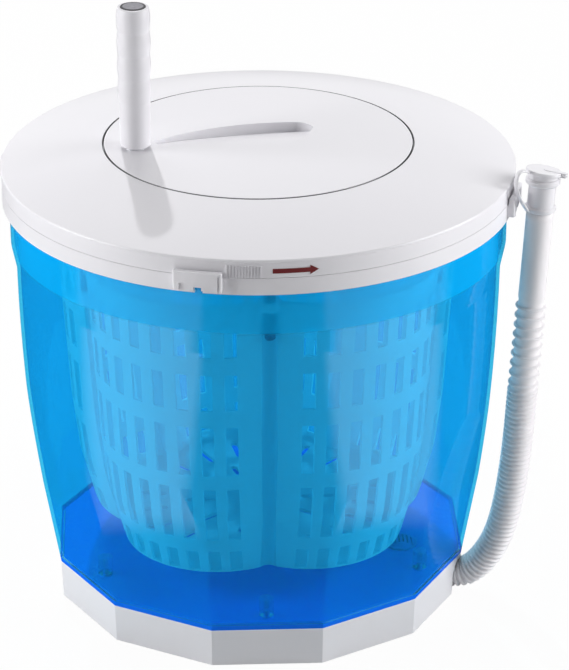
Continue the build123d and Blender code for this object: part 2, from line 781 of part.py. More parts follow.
# Lock ring: the band below the parting line, with four hollow housings
cavity_bottom = lug_top - lug_height - lug_room
cavity_top = lug_top + lug_room + slide_gap
cavity_radius = tub_band_radius + lug_reach + slide_gap * 2
housing_radius = lid_radius + housing_reach
with BuildPart() as lock_ring:
    with BuildSketch(Plane.XZ) as ring_profile:
        with BuildLine():
            Polyline((ring_inner, skirt_bottom), (lid_radius, skirt_bottom), (lid_radius, ring_top),
                     (ring_flange_inner, ring_top), (ring_flange_inner, ring_flange_bottom),
                     (ring_inner, ring_flange_bottom), close=True)
        make_face()
    revolve(axis=Axis.Z)
    for number in range(lug_count):
        azimuth = lug_azimuth + number * 360 / lug_count
        add(sector(lid_radius - lid_wall / 2, housing_radius, azimuth, housing_half_angle, housing_bottom,
                   ring_top))
        add(sector(lid_radius + housing_lip_gap, housing_radius, azimuth, housing_half_angle,
                   ring_top - lid_wall, housing_top))
    fillet(lock_ring.edges().filter_by(Axis.Z).filter_by(
        lambda edge: Vector(edge.center().X, edge.center().Y).length > housing_radius - slide_gap),
        housing_round)
    fillet(lock_ring.faces().sort_by(Axis.Z)[-lug_count:].edges().filter_by(
        lambda edge: Vector(edge.center().X, edge.center().Y).length > housing_radius - slide_gap
        and edge.length > housing_reach), edge_round)
    for number in range(lug_count):
        azimuth = lug_azimuth + number * 360 / lug_count
        inside_angle = housing_half_angle - housing_wall_angle
        add(sector(tub_band_radius, cavity_radius, azimuth, inside_angle, cavity_bottom, cavity_top),
            mode=Mode.SUBTRACT)
        add(sector(housing_radius - pocket_depth, housing_radius + cut_over, azimuth, pocket_half_angle,
                   housing_bottom - cut_over, pocket_top), mode=Mode.SUBTRACT)
        groove_angle = degrees(end_groove_width / housing_radius) / 2
        add(sector(housing_radius - pocket_depth, housing_radius + cut_over, azimuth + end_groove_angle,
                   groove_angle, housing_bottom - cut_over, housing_top - lid_wall), mode=Mode.SUBTRACT)
        # The way in for the lug, through the ledge and the front
        with BuildSketch(Plane.XY.offset(skirt_bottom - cut_over)):
            with PolarLocations(tub_band_radius, 1, start_angle=start(azimuth)):
                Rectangle(housing_radius - tub_band_radius + cut_over, lug_width + 2 * lift_gap,
                          align=(Align.MIN, Align.CENTER))
        extrude(amount=notch_top - skirt_bottom + cut_over, mode=Mode.SUBTRACT)
save(lock_ring, "lock_ring")


# Gears
def roll(radius, base_radius):
    # The involute function at a radius
    if radius <= base_radius:
        return 0.0
    angle = acos(base_radius / radius)
    return tan(angle) - angle


def gear_face(teeth, root_radius, tip_radius, thinning, turn):
    pitch_radius = module * teeth / 2
    base_radius = pitch_radius * cos(radians(pressure_angle))
    half_at_pitch = pi / (2 * teeth) - thinning / (2 * pitch_radius)
    constant = half_at_pitch + roll(pitch_radius, base_radius)
    step = 2 * pi / teeth
    middle_radius = (root_radius + tip_radius) / 2

    def at(radius, angle):
        return (radius * cos(angle), radius * sin(angle))

    def half(radius):
        return constant - roll(radius, base_radius)

    with BuildSketch() as outline:
        with BuildLine():
            for tooth in range(teeth):
                centre = turn + tooth * step
                root_left = at(root_radius, centre - half(root_radius))
                tip_left = at(tip_radius, centre - half(tip_radius))
                tip_right = at(tip_radius, centre + half(tip_radius))
                root_right = at(root_radius, centre + half(root_radius))
                next_left = at(root_radius, centre + step - half(root_radius))
                ThreePointArc(root_left, at(middle_radius, centre - half(middle_radius)), tip_left)
                Line(tip_left, tip_right)
                ThreePointArc(tip_right, at(middle_radius, centre + half(middle_radius)), root_right)
                Line(root_right, next_left)
        make_face()
    return outline.sketch


addendum = module * 0.9
dedendum = module * 1.2
sun_pitch = module * sun_teeth / 2
planet_pitch = module * planet_teeth / 2
ring_pitch = module * ring_teeth / 2
circular_pitch = pi * module
planet_direction = [radians(start(planet_azimuth)) + number * 2 * pi / planet_count
                    for number in range(planet_count)]
planet_turn = [direction + pi - (circular_pitch / 2 - sun_pitch * direction) / planet_pitch
               for direction in planet_direction]
ring_turn = planet_direction[0] + planet_pitch * (planet_turn[0] - planet_direction[0]) / ring_pitch

sun_face = gear_face(sun_teeth, sun_pitch - dedendum, sun_pitch + addendum, backlash, 0.0)
with BuildPart() as sun_gear:
    with BuildSketch(Plane.XY.offset(gear_bottom)):
        add(sun_face)
        Circle(shaft_radius, mode=Mode.SUBTRACT)
    extrude(amount=gear_height)
save(sun_gear, "sun_gear")

for number in range(planet_count):
    planet_face = gear_face(planet_teeth, planet_pitch - dedendum, planet_pitch + addendum, backlash,
                            planet_turn[number])
    centre_x = planet_ring_radius * cos(planet_direction[number])
    centre_y = planet_ring_radius * sin(planet_direction[number])
    with BuildPart() as planet_gear:
        with BuildSketch(Plane.XY.offset(gear_bottom)):
            with Locations((centre_x, centre_y)):
                add(planet_face)
                Circle(stud_radius + run_gap, mode=Mode.SUBTRACT)
        extrude(amount=gear_height)
    save(planet_gear, f"planet_gear_{number + 1}")

ring_face = gear_face(ring_teeth, ring_pitch - addendum, ring_pitch + dedendum, -backlash, ring_turn)
ring_outer = ring_pitch + dedendum + ring_back
with BuildPart() as ring_gear:
    with BuildSketch(Plane.XY.offset(gear_bottom)):
        Circle(ring_outer)
        add(ring_face, mode=Mode.SUBTRACT)
    extrude(amount=gear_height)
save(ring_gear, "ring_gear")

with BuildPart() as planet_studs:
    with Locations((0, 0, gear_top + stud_top_over)):
        with PolarLocations(planet_ring_radius, planet_count, start_angle=start(planet_azimuth)):
            Cylinder(stud_radius, gear_height + stud_top_over + gear_lift + stud_root, align=FROM_TOP)
    with Locations((0, 0, gear_top + slide_gap)):
        with PolarLocations(planet_ring_radius, planet_count, start_angle=start(planet_azimuth)):
            Cylinder(stud_radius + cut_over, clip_thickness, align=ON_BASE, mode=Mode.SUBTRACT)
            Cylinder(stud_radius - clip_thickness / 2, clip_thickness, align=ON_BASE)
save(planet_studs, "planet_studs")

with BuildPart() as stud_clips:
    with Locations((0, 0, gear_top + slide_gap)):
        with PolarLocations(planet_ring_radius, planet_count, start_angle=start(planet_azimuth)):
            Cylinder(stud_radius + clip_width, clip_thickness, align=ON_BASE)
            Cylinder(stud_radius - clip_thickness / 2, clip_thickness, align=ON_BASE, mode=Mode.SUBTRACT)
            Box(2 * stud_radius + clip_width, stud_radius, clip_thickness,
                align=(Align.MIN, Align.CENTER, Align.MIN), mode=Mode.SUBTRACT)
save(stud_clips, "stud_clips")

# Output shaft, with the sun gear on top and the spider below
with BuildPart() as output_shaft:
    with Locations((0, 0, spider_top - spider_arm_thickness)):
        Cylinder(shaft_radius, gear_top + clip_thickness - spider_top + spider_arm_thickness, align=ON_BASE)
        Cylinder(end_screw_radius, end_screw_length, align=ON_BASE, mode=Mode.SUBTRACT)
save(output_shaft, "output_shaft")

with BuildPart() as shaft_bush:
    with Locations((0, 0, pan_bottom - pan_hub_drop)):
        Cylinder(shaft_bush_outer, pan_hub_drop + pan_thickness, align=ON_BASE)
        Cylinder(shaft_radius + run_gap, pan_hub_drop + pan_thickness, align=ON_BASE, mode=Mode.SUBTRACT)
save(shaft_bush, "shaft_bush")

spider_arm_bottom = spider_top - spider_arm_thickness
with BuildPart() as drive_spider:
    with BuildSketch(Plane.XY.offset(spider_arm_bottom)):
        Circle(spider_hub_radius)
        with PolarLocations(0, lobe_count, start_angle=start(basket_azimuth)):
            Rectangle(key_ring_radius, spider_arm_width, align=(Align.MIN, Align.CENTER))
        with PolarLocations(key_ring_radius, lobe_count, start_angle=start(basket_azimuth)):
            Circle(spider_arm_width / 2 + drive_pin_radius / 2)
    extrude(amount=spider_arm_thickness)
    with Locations((0, 0, spider_arm_bottom)):
        Cylinder(spider_hub_radius, spider_hub_drop, align=FROM_TOP)
        Cylinder(shaft_radius, spider_arm_thickness, align=ON_BASE, mode=Mode.SUBTRACT)
        Cylinder(end_screw_radius + run_gap, spider_hub_drop, align=FROM_TOP, mode=Mode.SUBTRACT)
        with PolarLocations(key_ring_radius, lobe_count, start_angle=start(basket_azimuth)):
            Cylinder(drive_pin_radius, spider_arm_thickness, align=ON_BASE, mode=Mode.SUBTRACT)
save(drive_spider, "drive_spider")

with BuildPart() as drive_pins:
    with Locations((0, 0, drive_pin_bottom)):
        with PolarLocations(key_ring_radius, lobe_count, start_angle=start(basket_azimuth)):
            Cylinder(drive_pin_radius, spider_top - drive_pin_bottom, align=ON_BASE)
    chamfer(drive_pins.faces().group_by(Axis.Z)[0].edges(), edge_round * 2)
save(drive_pins, "drive_pins")

with BuildPart() as spider_screw:
    with Locations((0, 0, spider_arm_bottom - spider_hub_drop)):
        Cylinder(end_screw_head, end_screw_head_height, align=FROM_TOP)
        Cylinder(end_screw_radius, spider_hub_drop + end_screw_length, align=ON_BASE)
save(spider_screw, "spider_screw")

# Turntable: the flush deck that the crank turns, with a finger scoop
scoop_turn = radians(scoop_heading)


def scoop_tool(outset, drop, top):
    # The scoop's room: its outline in plan above a floor that curves down to the far edge
    floor_plane = Plane(origin=(*scoop_back, deck_height - drop), x_dir=(sin(scoop_turn), -cos(scoop_turn), 0),
                        z_dir=(-cos(scoop_turn), -sin(scoop_turn), 0))
    with BuildPart() as tool:
        with BuildSketch(Plane.XY.offset(top)):
            with BuildLine():
                ThreePointArc(scoop_left, scoop_back, scoop_right)
                ThreePointArc(scoop_right, scoop_tip, scoop_end)
                ThreePointArc(scoop_end, scoop_front, scoop_left)
            make_face()
            if outset:
                offset(amount=outset, mode=Mode.REPLACE)
        extrude(amount=-2 * scoop_depth)
        with BuildSketch(floor_plane):
            with BuildLine():
                TangentArc((scoop_run, 0), (0, -scoop_depth), tangent=(-1, 0))
                Polyline((0, -scoop_depth), (-scoop_depth, -scoop_depth), (-scoop_depth, scoop_depth),
                         (2 * scoop_run, scoop_depth), (2 * scoop_run, 0), (scoop_run, 0))
            make_face()
        extrude(amount=2 * scoop_run, both=True, mode=Mode.INTERSECT)
    return tool.part


with BuildPart() as turntable:
    with Locations((0, 0, deck_under)):
        Cylinder(deck_radius, deck_thickness, align=ON_BASE)
    fillet(turntable.faces().sort_by(Axis.Z)[-1].edges(), edge_round * 1.5)
    with Locations((0, 0, deck_under)):
        # Socket that holds the ring gear
        Cylinder(ring_outer + socket_wall, socket_drop, align=FROM_TOP)
        Cylinder(ring_outer - socket_wall, socket_drop, align=FROM_TOP, mode=Mode.SUBTRACT)
    with Locations((0, 0, gear_top)):
        Cylinder(ring_outer, deck_height, align=FROM_TOP, mode=Mode.SUBTRACT)
    with Locations((crank_x, crank_y, deck_under)):
        Cylinder(crank_boss_radius, crank_boss_drop - deck_thickness, align=FROM_TOP)
    # Snap hooks that keep the deck on the ledge
    for hook in range(hook_count):
        azimuth = (hook + 0.5) * 360 / hook_count
        hook_bottom = deck_under - hook_drop
        add(sector(hook_radius - hook_wall, hook_radius, azimuth, hook_angle / 2, hook_bottom, deck_under))
        add(sector(hook_radius - hook_wall, hook_radius + hook_barb, azimuth, hook_angle / 2, hook_bottom,
                   hook_bottom + barb_height))
    add(scoop_tool(scoop_wall, scoop_wall, deck_under))
    add(scoop_tool(0.0, 0.0, deck_height + cut_over), mode=Mode.SUBTRACT)
    with Locations((crank_x, crank_y, deck_height)):
        Cylinder(post_radius, 2 * crank_boss_drop, align=FROM_TOP, mode=Mode.SUBTRACT)
save(turntable, "turntable")

with BuildPart() as slip_ring:
    with Locations((0, 0, ledge_top)):
        Cylinder(deck_hole - slide_gap, deck_under - slide_gap - ledge_top, align=ON_BASE)
        Cylinder(deck_hole - slide_gap - slip_width, deck_under - slide_gap - ledge_top, align=ON_BASE,
                 mode=Mode.SUBTRACT)
save(slip_ring, "slip_ring")

# Crank post, washer and nut
boss_bottom = deck_height - crank_boss_drop
nut_top = boss_bottom - crank_washer_thickness
with BuildPart() as crank_post:
    with Locations((crank_x, crank_y, nut_top - nut_height)):
        Cylinder(post_radius, post_top - nut_top + nut_height, align=ON_BASE)
    with Locations((crank_x, crank_y, deck_height)):
        Cylinder(post_flange_radius, post_flange_height, align=ON_BASE)
    chamfer(crank_post.faces().sort_by(Axis.Z)[-1].edges(), edge_round)
save(crank_post, "crank_post")

with BuildPart() as crank_washer:
    with Locations((crank_x, crank_y, boss_bottom)):
        Cylinder(crank_washer_radius, crank_washer_thickness, align=FROM_TOP)
        Cylinder(post_radius, crank_washer_thickness, align=FROM_TOP, mode=Mode.SUBTRACT)
save(crank_washer, "crank_washer")

with BuildPart() as crank_nut:
    with BuildSketch(Plane.XY.offset(nut_top)):
        with Locations((crank_x, crank_y)):
            RegularPolygon(nut_width / 2, 6, major_radius=False)
            Circle(post_radius, mode=Mode.SUBTRACT)
    extrude(amount=-nut_height)
save(crank_nut, "crank_nut")

# Grip sleeve: waves near the top, plain below
grip_plane = Plane(origin=(crank_x, crank_y, 0), x_dir=(1, 0, 0), z_dir=(0, -1, 0))
waves_bottom = grip_top - grip_wave * grip_wave_count
well_floor = grip_top - grip_well_depth
with BuildPart() as grip_sleeve:
    with BuildSketch(grip_plane):
        with BuildLine():
            Line((0, grip_bottom), (grip_base_radius - edge_round, grip_bottom))
            ThreePointArc((grip_base_radius - edge_round, grip_bottom),
                          (grip_base_radius - edge_round * 0.3, grip_bottom + edge_round * 0.3),
                          (grip_base_radius, grip_bottom + edge_round))
            ThreePointArc((grip_base_radius, grip_bottom + edge_round),
                          ((grip_base_radius + grip_waist_radius) / 2 + edge_round / 2,
                           (grip_bottom + waves_bottom) / 2),
                          (grip_waist_radius, waves_bottom))
            for wave in range(grip_wave_count - 1):
                low = waves_bottom + wave * grip_wave
                ThreePointArc((grip_waist_radius, low), (grip_crest_radius, low + grip_wave / 2),
                              (grip_waist_radius, low + grip_wave))
            ThreePointArc((grip_waist_radius, grip_top - grip_wave),
                          (grip_crest_radius, grip_top - grip_wave / 2),
                          (grip_top_radius, grip_top - edge_round))
            ThreePointArc((grip_top_radius, grip_top - edge_round),
                          (grip_top_radius - edge_round * 0.3, grip_top - edge_round * 0.3),
                          (grip_top_radius - edge_round, grip_top))
            Polyline((grip_top_radius - edge_round, grip_top), (0, grip_top), (0, grip_bottom))
        make_face()
    revolve(axis=Axis(origin=(crank_x, crank_y, 0), direction=(0, 0, 1)))
    with Locations((crank_x, crank_y, grip_top)):
        Cylinder(grip_cap_radius + run_gap, grip_cap_height - grip_cap_over, align=FROM_TOP, mode=Mode.SUBTRACT)
        Cylinder(grip_well_radius, grip_well_depth, align=FROM_TOP, mode=Mode.SUBTRACT)
    with Locations((crank_x, crank_y, grip_bottom)):
        Cylinder(post_radius + run_gap, grip_top - grip_bottom, align=ON_BASE, mode=Mode.SUBTRACT)
save(grip_sleeve, "grip_sleeve")

with BuildPart() as grip_retainer:
    with Locations((crank_x, crank_y, well_floor + slide_gap)):
        Cylinder(grip_well_radius - slide_gap, retainer_thickness, align=ON_BASE)
        Cylinder(post_radius, retainer_thickness, align=ON_BASE, mode=Mode.SUBTRACT)
save(grip_retainer, "grip_retainer")

with BuildPart() as grip_cap:
    with Locations((crank_x, crank_y, grip_top + grip_cap_over)):
        Cylinder(grip_cap_radius, grip_cap_height, align=FROM_TOP)
    fillet(grip_cap.faces().sort_by(Axis.Z)[-1].edges(), edge_round)
    with Locations((crank_x, crank_y, grip_top + grip_cap_over - grip_cap_height)):
        Cylinder(grip_well_radius, grip_cap_stem, align=FROM_TOP)
save(grip_cap, "grip_cap")

# Drain hose: one ruled loft through the circles of its ribs, with its bore
hose_plane = radial_plane(hose_azimuth)
steady_axis = hose_plane.z_dir
route = [Vector(*spot(reach, hose_azimuth, height)) for reach, height in hose_route]


def bend_radii(points):
    radii = []
    for before, here, after in zip(points, points[1:], points[2:]):
        run_in = here - before
        run_out = after - here
        turn = radians(run_in.get_angle(run_out))
        radii.append(hose_bend_share * min(run_in.length, run_out.length) / tan(turn / 2))
    return radii


hose_radii = bend_radii(route)
print("hose bend radii", [round(radius, 1) for radius in hose_radii])
with BuildLine() as hose_path:
    FilletPolyline(*route, radius=hose_radii)
hose_wire = hose_path.wire()
hose_length = hose_wire.length
print("hose length", round(hose_length, 1))


def hose_station(distance):
    here = hose_wire.position_at(distance, position_mode=PositionMode.LENGTH)
    ahead = hose_wire.tangent_at(distance, position_mode=PositionMode.LENGTH)
    return Plane(origin=here, x_dir=steady_axis, z_dir=ahead)


hose_circles = [(0.0, hose_end_radius), (hose_cuff_length, hose_end_radius)]
for rib in range(rib_count):
    rib_radii = [hose_valley_radius, hose_crest_radius, hose_crest_radius, hose_valley_radius]
    for share, radius in zip(rib_circle_shares, rib_radii):
        hose_circles.append((hose_cuff_length + (rib + share) * rib_pitch, radius))
wide_start = hose_cuff_length + rib_count * rib_pitch
for rib in range(wide_rib_count):
    middle = wide_start + (rib + 0.5) * wide_rib_pitch
    for share, radius in zip(rib_circle_shares, rib_radii):
        hose_circles.append((middle + (share - 0.5) * wide_rib_width, radius))
plain_start = wide_start + wide_rib_count * wide_rib_pitch
hose_circles.append((plain_start, hose_valley_radius))
hose_circles.append((plain_start + rib_pitch, hose_plain_radius))
plain_steps = 6
for step in range(plain_steps):
    share = (step + 1) / plain_steps
    hose_circles.append((plain_start + rib_pitch + share * (hose_length - plain_start - rib_pitch),
                         hose_plain_radius))
print("rib gap", round(rib_pitch * (1 - rib_circle_shares[2] + rib_circle_shares[1]), 2),
      "plain from", round(plain_start, 1))

with BuildPart() as drain_hose:
    for distance, radius in hose_circles:
        with BuildSketch(hose_station(distance)):
            Circle(radius)
    loft(ruled=True)
    with BuildSketch(hose_station(0.0)):
        Circle(hose_bore)
    sweep(path=hose_wire, mode=Mode.SUBTRACT)
save(drain_hose, "drain_hose")
print("hose bore share", round(drain_hose.part.volume / (pi * hose_valley_radius ** 2 * hose_length), 3))

with BuildPart() as hose_clamp:
    with BuildSketch(hose_station(clamp_start)):
        Circle(hose_end_radius + run_gap + clamp_thickness)
        Circle(hose_end_radius + run_gap, mode=Mode.SUBTRACT)
    extrude(amount=clamp_width)
    clamp_middle = spot(hose_route[0][0] + clamp_start + clamp_width / 2, hose_azimuth,
                        hose_route[0][1] + hose_end_radius + run_gap + clamp_thickness / 2)
    with Locations(Plane(origin=clamp_middle, x_dir=steady_axis, z_dir=(0, 0, 1))):
        Box(clamp_screw_length, clamp_width, clamp_screw_radius, align=ON_BASE)
save(hose_clamp, "hose_clamp")

# End fitting: collar, cuff, cap and its strap stand on the hose's end
end_plane = hose_station(hose_length)


def end_offset(distance):
    return Plane(origin=end_plane.origin + end_plane.z_dir * distance, x_dir=steady_axis, z_dir=end_plane.z_dir)


with BuildPart() as hose_collar:
    with BuildSketch(end_offset(0.0)):
        Circle(collar_radius)
        Circle(spigot_radius, mode=Mode.SUBTRACT)
    extrude(amount=collar_height)
    chamfer(hose_collar.edges().filter_by(GeomType.CIRCLE).group_by(SortBy.RADIUS)[-1], 2 * edge_round)
save(hose_collar, "hose_collar")

cuff_top = collar_height + cuff_height
with BuildPart() as hose_cuff:
    with BuildSketch(end_offset(collar_height)):
        Circle(cuff_radius)
    extrude(amount=cuff_height)
    with BuildSketch(end_offset(cuff_top)):
        Circle(cuff_flange_radius)
    extrude(amount=-cuff_flange_height)
    chamfer(hose_cuff.edges().filter_by(GeomType.CIRCLE).group_by(SortBy.RADIUS)[-1], 2 * edge_round)
    with BuildSketch(end_offset(collar_height)):
        Circle(spigot_radius)
    extrude(amount=-collar_height - cuff_grip)
    with BuildSketch(end_offset(cuff_top)):
        Circle(cuff_bore)
    extrude(amount=-cuff_height - collar_height - cuff_grip, mode=Mode.SUBTRACT)
save(hose_cuff, "hose_cuff")

# The cap's disc sits askew, high beside the lid, on a neck and a straight plug
cap_middle = cuff_top + cap_lift + cap_height / 2
cap_lean_axis = end_plane.z_dir.cross(Vector(*spot(1.0, cap_lean)))
cap_normal = end_plane.z_dir.rotate(Axis(origin=(0, 0, 0), direction=cap_lean_axis), cap_tilt)
cap_across = steady_axis - cap_normal * steady_axis.dot(cap_normal)
cap_plane = Plane(origin=end_offset(cap_middle).origin, x_dir=cap_across, z_dir=cap_normal)
with BuildPart() as cap_neck:
    with BuildSketch(end_offset(cuff_top + slide_gap)):
        Circle(cap_neck_radius)
    extrude(amount=2 * cap_lift)
    with BuildSketch(cap_plane):
        Circle(2 * cap_radius)
    extrude(amount=2 * cap_lift, mode=Mode.SUBTRACT)

with BuildPart() as drain_cap:
    with BuildSketch(cap_plane):
        Circle(cap_radius)
    extrude(amount=cap_height / 2, both=True)
    fillet(drain_cap.edges().filter_by(GeomType.CIRCLE), edge_round)
    add(cap_neck.part)
    with BuildSketch(end_offset(cap_middle)):
        Circle(cuff_bore - run_gap)
    extrude(amount=cuff_top - cap_plug_depth - cap_middle)
    # Two small pull tabs on the outer side
    for level in (-0.5, 0.5):
        with BuildSketch(cap_plane.offset(level * cap_tab_spacing - cap_tab_thickness / 2)):
            with Locations((0, cap_radius / 2 + cap_tab_length / 2)):
                SlotOverall(cap_tab_length + cap_radius, cap_tab_width, rotation=90)
        extrude(amount=cap_tab_thickness)
save(drain_cap, "drain_cap")

strap_out = Vector(*spot(1.0, strap_azimuth))
strap_plane = Plane(origin=end_plane.origin, x_dir=strap_out, z_dir=strap_out.cross(Vector(0, 0, 1)))
strap_turn = radians(180 - cap_lean + strap_azimuth)
strap_top = cap_middle + cap_radius * sin(radians(cap_tilt)) * cos(strap_turn)
strap_low = collar_height / 2
strap_rise = strap_top - strap_low
strap_line = [(collar_radius + strap_thickness / 2, strap_low)]
for reach_share, rise_share in strap_bend_shares:
    strap_line.append((strap_reach * reach_share, strap_low + strap_rise * rise_share))
strap_line.append((cap_radius + slide_gap + strap_thickness / 2, strap_top - strap_thickness / 2))
with BuildPart() as cap_strap:
    with BuildSketch(strap_plane):
        with BuildLine():
            Spline(*strap_line)
        trace(line_width=strap_thickness)
    extrude(amount=strap_width / 2, both=True)
save(cap_strap, "cap_strap")
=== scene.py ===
import json
import math

import bmesh
import bpy
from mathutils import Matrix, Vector


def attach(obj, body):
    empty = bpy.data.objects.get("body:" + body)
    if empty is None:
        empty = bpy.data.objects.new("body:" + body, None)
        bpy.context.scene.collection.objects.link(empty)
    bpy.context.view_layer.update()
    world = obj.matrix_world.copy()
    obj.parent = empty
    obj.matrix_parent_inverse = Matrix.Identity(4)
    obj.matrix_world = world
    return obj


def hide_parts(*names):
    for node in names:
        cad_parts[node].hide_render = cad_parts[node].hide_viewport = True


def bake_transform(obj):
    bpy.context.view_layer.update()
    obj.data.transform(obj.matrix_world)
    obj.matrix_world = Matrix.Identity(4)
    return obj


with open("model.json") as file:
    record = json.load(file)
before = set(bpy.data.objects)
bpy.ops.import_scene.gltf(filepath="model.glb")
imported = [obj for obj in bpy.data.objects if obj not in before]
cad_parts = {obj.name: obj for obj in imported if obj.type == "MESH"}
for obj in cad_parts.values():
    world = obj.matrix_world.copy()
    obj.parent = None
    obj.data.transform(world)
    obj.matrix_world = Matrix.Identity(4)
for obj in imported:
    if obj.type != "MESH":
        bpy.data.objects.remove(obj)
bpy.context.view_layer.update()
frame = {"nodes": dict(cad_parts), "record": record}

nodes = frame["nodes"]
scene = bpy.context.scene
scene.view_settings.view_transform = "Standard"
upward = Vector((0, 0, 1))
white = (1, 1, 1, 1)
print("frame loaded:", len(nodes), "nodes")


class Wire:  # a node's output socket that can be added, multiplied and so on

    def __init__(self, finish, socket):
        self.finish = finish
        self.socket = socket

    def __add__(self, other):
        return self.finish.maths("ADD", self, other)

    def __sub__(self, other):
        return self.finish.maths("SUBTRACT", self, other)

    def __rsub__(self, other):
        return self.finish.maths("SUBTRACT", other, self)

    def __mul__(self, other):
        return self.finish.maths("MULTIPLY", self, other)

    __radd__ = __add__
    __rmul__ = __mul__


class Finish:  # the nodes of one material, or of the world, with a short way to add and join them

    def __init__(self, owner):
        self.owner = owner
        owner.use_nodes = True
        self.tree = owner.node_tree
        self.tree.nodes.clear()

    def add(self, kind, settings=None, sockets=None, output=0):
        node = self.tree.nodes.new(kind)
        for key, value in (settings or {}).items():
            setattr(node, key, value)
        for key, value in (sockets or {}).items():
            if isinstance(value, Wire):
                self.tree.links.new(value.socket, node.inputs[key])
            else:
                node.inputs[key].default_value = value
        return Wire(self, node.outputs[output]) if node.outputs else node

    def maths(self, operation, *values):
        return self.add("ShaderNodeMath", {"operation": operation}, dict(enumerate(values)))

    def vectors(self, operation, *values, output="Vector"):
        return self.add("ShaderNodeVectorMath", {"operation": operation}, dict(enumerate(values)), output)

    def ray(self, kind):
        return self.add("ShaderNodeLightPath", output=kind)

    def larger(self, first, second):
        return self.maths("MAXIMUM", first, second)

    def seenRay(self):
        # 1 for the rays that show the pale room: straight, mirrored or through something clear
        return self.larger(self.ray("Is Camera Ray"),
                           self.larger(self.ray("Is Glossy Ray"), self.ray("Is Transmission Ray")))

    def place(self, axis=None):
        where = self.add("ShaderNodeTexCoord", output="Object")
        if axis is None:
            return where
        return self.add("ShaderNodeSeparateXYZ", sockets={0: where}, output=axis)

    def flatPlace(self):
        return self.vectors("MULTIPLY", self.place(), (1.0, 1.0, 0.0))

    def between(self, value, limits):
        # rises from 0 to 1 between two limits
        return self.add("ShaderNodeMapRange", {}, {0: value, 1: limits[0], 2: limits[1]})

    def speckle(self, scale, detail=4.0, rough=0.55):
        return self.add("ShaderNodeTexNoise", {}, {"Vector": self.place(), "Scale": scale, "Detail": detail,
                                                   "Roughness": rough})

    def blendColours(self, factor, first, second):
        # the Mix node's colour sockets are its 7th and 8th
        return self.add("ShaderNodeMix", {"data_type": "RGBA"}, {0: factor, 6: first, 7: second}, output=2)

    def tinted(self, factor, look):
        return self.blendColours(factor, rgba(look["colour"]), rgba(look["shade"]))

    def blendShaders(self, factor, first, second):
        return self.add("ShaderNodeMixShader", {}, {0: factor, 1: first, 2: second})

    def clear(self, colour):
        return self.add("ShaderNodeBsdfTransparent", {}, {"Color": rgba(colour)})

    def skin(self, colour, rough, **others):
        return self.add("ShaderNodeBsdfPrincipled", {}, {"Base Color": colour, "Roughness": rough} | others)

    def bumps(self, height, strength, distance):
        return self.add("ShaderNodeBump", {}, {"Height": height, "Strength": strength, "Distance": distance})

    def show(self, shader, end="ShaderNodeOutputMaterial"):
        self.add(end, {}, {"Surface": shader})
        return self.owner


def newFinish(name):
    return Finish(bpy.data.materials.new(name))


def rgba(colour):
    return (*colour, 1.0)


# for every plastic: scale of its clouds, detail of its grain, how hard the grain is pressed in
moulding = {"clouds": 9.0, "detail": 2.0, "press": 0.25, "ior": 1.47}

mouldedPlastics = {
    "shellWhite": {"colour": (0.79, 0.78, 0.81), "shade": (0.76, 0.75, 0.785), "rough": 0.28, "spread": 0.08,
                   "grain": 900.0, "depth": 0.00002},
    "baseWhite": {"colour": (0.80, 0.80, 0.83), "shade": (0.77, 0.77, 0.80), "rough": 0.30, "spread": 0.08,
                  "grain": 700.0, "depth": 0.00002},
    "innerWhite": {"colour": (0.72, 0.73, 0.75), "shade": (0.66, 0.68, 0.71), "rough": 0.45, "spread": 0.15,
                   "grain": 600.0, "depth": 0.00004},
    "hoseWhite": {"colour": (0.84, 0.82, 0.84), "shade": (0.80, 0.78, 0.80), "rough": 0.40, "spread": 0.12,
                  "grain": 800.0, "depth": 0.00003},
    "darkPlastic": {"colour": (0.30, 0.29, 0.32), "shade": (0.25, 0.245, 0.27), "rough": 0.45, "spread": 0.12,
                    "grain": 900.0, "depth": 0.00002},
    "darkPin": {"colour": (0.06, 0.12, 0.22), "shade": (0.04, 0.09, 0.17), "rough": 0.40, "spread": 0.15,
                "grain": 900.0, "depth": 0.00002},
    "markRed": {"colour": (0.16, 0.006, 0.008), "shade": (0.11, 0.004, 0.006), "rough": 0.50, "spread": 0.10,
                "grain": 1200.0, "depth": 0.00001},
    "deepBlue": {"colour": (0.01, 0.20, 0.80), "shade": (0.01, 0.17, 0.70), "rough": 0.40, "spread": 0.10,
                 "grain": 900.0, "depth": 0.00001},
    "rubberGrey": {"colour": (0.11, 0.11, 0.115), "shade": (0.08, 0.08, 0.085), "rough": 0.65, "spread": 0.20,
                   "grain": 1500.0, "depth": 0.00004},
}


def mouldedPlastic(name, look, marking=None):
    finish = newFinish(name)
    clouds = finish.speckle(moulding["clouds"])
    grain = finish.speckle(look["grain"], moulding["detail"])
    colour = finish.tinted(clouds, look)
    if marking:
        colour = marking(finish, colour)
    return finish.show(finish.skin(
        colour, look["rough"] + look["spread"] * clouds, IOR=moulding["ior"],
        Normal=finish.bumps(grain, moulding["press"], look["depth"])))


# painted shade: radii and colour of a dark ring painted into the gap round the turntable
gapShadeLook = {"inner": 0.11385, "outer": 0.11545, "dark": (0.14, 0.14, 0.15)}


def gapShadeMarking(finish, colour):
    # painted shade: the colour is darkened in the narrow gap round the turntable, where shade falls
    across = finish.vectors("LENGTH", finish.flatPlace(), output="Value")
    gap = (finish.maths("GREATER_THAN", across, gapShadeLook["inner"])
           * finish.maths("LESS_THAN", across, gapShadeLook["outer"]))
    return finish.blendColours(gap, colour, rgba(gapShadeLook["dark"]))


capLook = {"centre": (-0.0905, -0.0106, 0.0), "edge": (0.0072, 0.0080), "ring": (0.02, 0.02, 0.024),
           "colour": (0.34, 0.33, 0.36), "shade": (0.16, 0.16, 0.18), "scuffs": 300.0,
           "rough": 0.45, "spread": 0.1, "clouds": 200.0}


